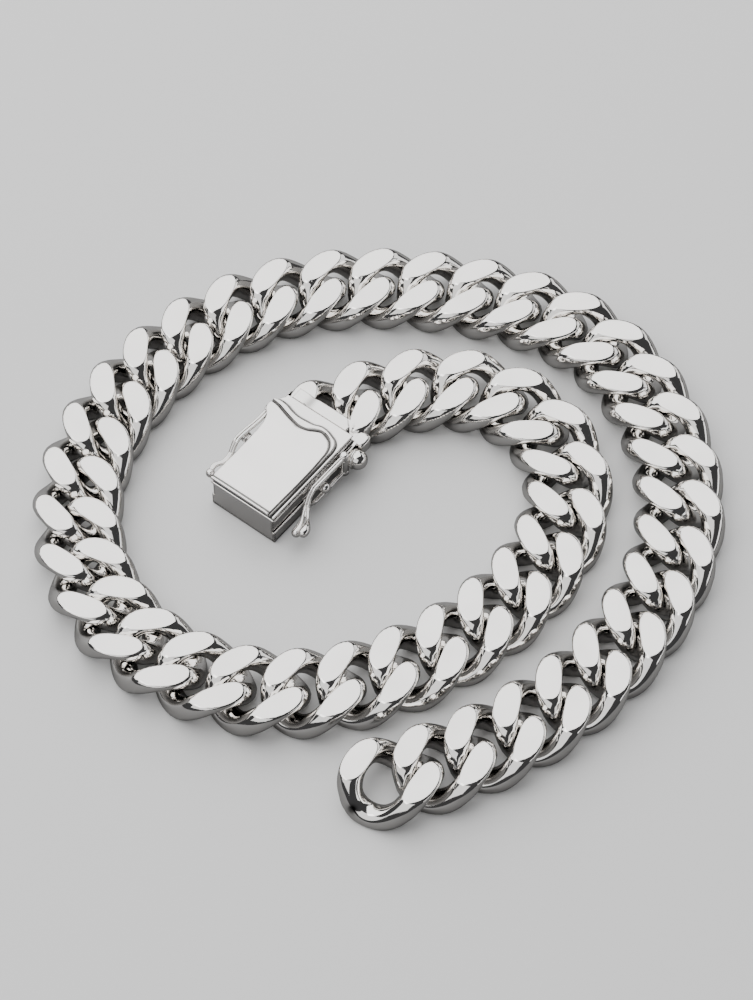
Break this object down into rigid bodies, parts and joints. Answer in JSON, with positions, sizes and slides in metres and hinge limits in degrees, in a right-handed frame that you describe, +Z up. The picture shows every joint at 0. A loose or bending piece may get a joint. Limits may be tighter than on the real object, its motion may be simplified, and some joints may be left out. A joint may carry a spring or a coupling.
{
  "type": "curb chain necklace",
  "caption": "Heavy flat-ground curb chain necklace lying as an open spiral, with a box clasp closed on the last link and hinged safety latches beside it.",
  "frame": {"origin": "middle of the necklace's outline, on the surface that it lies on", "axes": "+X to the right and +Y away from the viewer of the picture, +Z up"},
  "size_m": [0.1356, 0.1328, 0.009],
  "materials": {
    "chain_silver": "mirror-polished sterling silver, ground flat faces",
    "end_link_silver": "mirror-polished sterling silver with a solder mark",
    "tongue_silver": "polished sterling silver",
    "box_silver": "mirror-polished sterling silver, soft panel",
    "latch_silver": "polished sterling silver wire",
    "pin_silver": "turned silver pin"
  },
  "bodies": {
    "necklace": {"chain": "chain_silver", "end_link": "end_link_silver", "tongue": "tongue_silver", "clasp_box": "box_silver", "hinge_pin_right": "pin_silver", "hinge_pin_left": "pin_silver"},
    "right_latch": {"latch_right": "latch_silver"},
    "left_latch": {"latch_left": "latch_silver"}
  },
  "joints": [
    {"name": "right_latch_hinge", "type": "hinge", "parent": "necklace", "child": "right_latch", "pos_m": [-0.00686, 0.01288, 0.0049], "axis": [0, 0, 1], "range_deg": [0, 90]},
    {"name": "left_latch_hinge", "type": "hinge", "parent": "necklace", "child": "left_latch", "pos_m": [-0.02169, 0.02443, 0.0049], "axis": [0, 0, 1], "range_deg": [-60, 0]}
  ]
}
